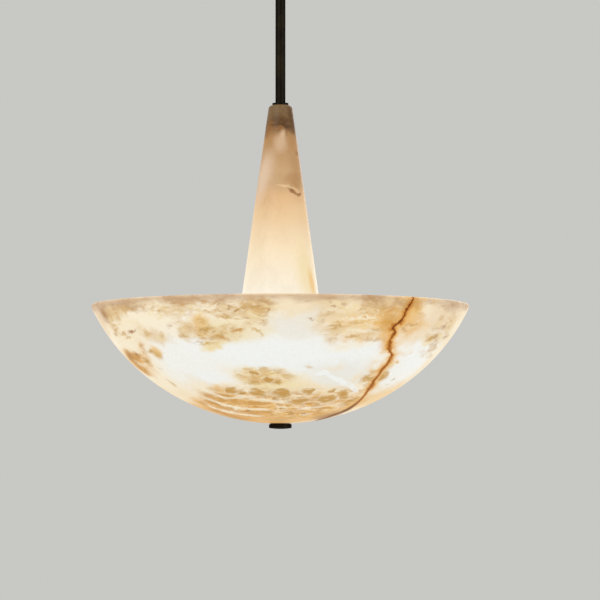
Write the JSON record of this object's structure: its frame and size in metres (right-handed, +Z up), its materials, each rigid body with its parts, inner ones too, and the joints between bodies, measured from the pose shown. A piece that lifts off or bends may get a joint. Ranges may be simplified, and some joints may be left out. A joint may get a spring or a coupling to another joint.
{
  "type": "alabaster bowl pendant light",
  "caption": "Pendant light: a shallow alabaster bowl under a tall hollow alabaster cone, on a slim rod that hangs from a ball swivel in a round canopy.",
  "frame": {"origin": "middle of the crossbar's top face, in the plane of the ceiling", "axes": "+Z up, into the ceiling, along the rod; +X along the crossbar, towards one of the canopy's screws"},
  "size_m": [0.4498, 0.4496, 0.7229],
  "materials": {
    "bronze": "dark oil-rubbed bronze, satin",
    "zinc_steel": "zinc-plated steel",
    "brass": "plain turned brass",
    "nickel": "nickel-plated lamp cap",
    "alabaster": "polished translucent alabaster with brown veins, lit from within",
    "gasket_rubber": "matt black rubber",
    "black_moulding": "black thermoset moulding",
    "white_moulding": "white moulding",
    "opal_glass": "opal glass, lit"
  },
  "bodies": {
    "canopy_body": {"crossbar": "zinc_steel", "earth_screw": "brass", "canopy": "bronze", "canopy_screws": "bronze", "stop_pin": "zinc_steel", "terminal_block": "white_moulding", "terminal_clamp_screws": "brass", "terminal_fixing_screw": "brass"},
    "swivel": {"swivel_ring": "brass"},
    "stem": {"swivel_ball": "brass", "swivel_nut": "zinc_steel", "threaded_pipe": "brass", "stem_tube": "bronze", "cone_cap": "bronze", "cap_washer": "gasket_rubber", "alabaster_cone": "alabaster", "cone_gasket": "gasket_rubber", "cone_support": "zinc_steel", "cone_spacer": "zinc_steel", "cluster_cover": "brass", "cluster_body": "brass", "cover_screws": "zinc_steel", "cluster_nut": "zinc_steel", "holder_nipples": "brass", "nipple_nuts": "zinc_steel", "lamp_holder_1": "black_moulding", "holder_shell_1": "brass", "centre_contact_1": "brass", "lamp_holder_2": "black_moulding", "holder_shell_2": "brass", "centre_contact_2": "brass", "lamp_holder_3": "black_moulding", "holder_shell_3": "brass", "centre_contact_3": "brass", "lamp_holder_4": "black_moulding", "holder_shell_4": "brass", "centre_contact_4": "brass", "bowl_spacer": "zinc_steel", "bowl_plate": "zinc_steel"},
    "lamp_1": {"lamp_cap_1": "nickel", "lamp_collar_1": "white_moulding", "lamp_globe_1": "opal_glass"},
    "lamp_2": {"lamp_cap_2": "nickel", "lamp_collar_2": "white_moulding", "lamp_globe_2": "opal_glass"},
    "lamp_3": {"lamp_cap_3": "nickel", "lamp_collar_3": "white_moulding", "lamp_globe_3": "opal_glass"},
    "lamp_4": {"lamp_cap_4": "nickel", "lamp_collar_4": "white_moulding", "lamp_globe_4": "opal_glass"},
    "bowl": {"inner_gasket": "gasket_rubber", "alabaster_bowl": "alabaster", "outer_gasket": "gasket_rubber"},
    "finial_body": {"finial": "bronze"}
  },
  "joints": [
    {"name": "swivel_turn", "type": "hinge", "parent": "canopy_body", "child": "swivel", "pos_m": [0, 0, -0.02109], "axis": [0, 0, 1], "range_deg": [-165, 165]},
    {"name": "swivel_tilt", "type": "hinge", "parent": "swivel", "child": "stem", "pos_m": [0, 0, -0.02109], "axis": [1, 0, 0], "range_deg": [-20, 20]},
    {"name": "bowl_lower", "type": "slide", "parent": "stem", "child": "bowl", "axis": [0, 0, -1], "range_m": [0, 0.01]},
    {"name": "finial_turn", "type": "hinge", "parent": "bowl", "child": "finial_body", "pos_m": [0, 0, -0.71654], "axis": [0, 0, -1], "range_deg": [0, 3600]},
    {"name": "lamp_turn_1", "type": "hinge", "parent": "stem", "child": "lamp_1", "pos_m": [0.05, 0, -0.63084], "axis": [1, 0, 0], "range_deg": [0, 1800]},
    {"name": "lamp_turn_2", "type": "hinge", "parent": "stem", "child": "lamp_2", "pos_m": [0, 0.05, -0.63084], "axis": [0, 1, 0], "range_deg": [0, 1800]},
    {"name": "lamp_turn_3", "type": "hinge", "parent": "stem", "child": "lamp_3", "pos_m": [-0.05, 0, -0.63084], "axis": [-1, 0, 0], "range_deg": [0, 1800]},
    {"name": "lamp_turn_4", "type": "hinge", "parent": "stem", "child": "lamp_4", "pos_m": [0, -0.05, -0.63084], "axis": [0, -1, 0], "range_deg": [0, 1800]}
  ],
  "couplings": [
    {"joint": "finial_turn", "follows": "bowl_lower", "rad_per_m": 6283.2}
  ]
}
